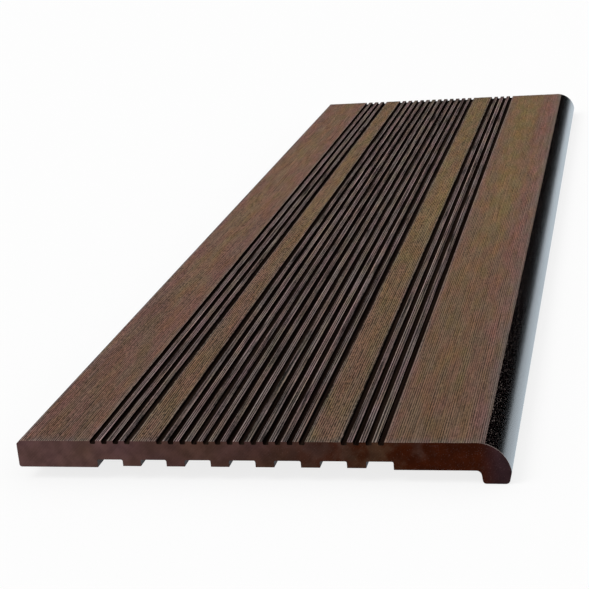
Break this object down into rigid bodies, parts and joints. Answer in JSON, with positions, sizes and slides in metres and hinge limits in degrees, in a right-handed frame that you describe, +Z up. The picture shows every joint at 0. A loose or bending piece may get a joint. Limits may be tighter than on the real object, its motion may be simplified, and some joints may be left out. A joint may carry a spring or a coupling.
{
  "type": "stair tread",
  "caption": "Solid extruded stair tread with a brushed walking face, bands of anti-slip grooves, a rounded nose that turns down in a lip, and relief notches along its underside.",
  "frame": {"origin": "middle of the tread's length and depth, level with the foot of the nose lip", "axes": "+X along the tread's length, -Y out of the nose towards the front of the stair, +Z up out of the walking face"},
  "size_m": [1.2, 0.35, 0.03],
  "materials": {
    "composite": "brown wood-plastic composite: brushed walking face, smooth dark skin on the nose and in the grooves, sawn ends"
  },
  "bodies": {
    "root": {"tread": "composite"}
  },
  "joints": []
}
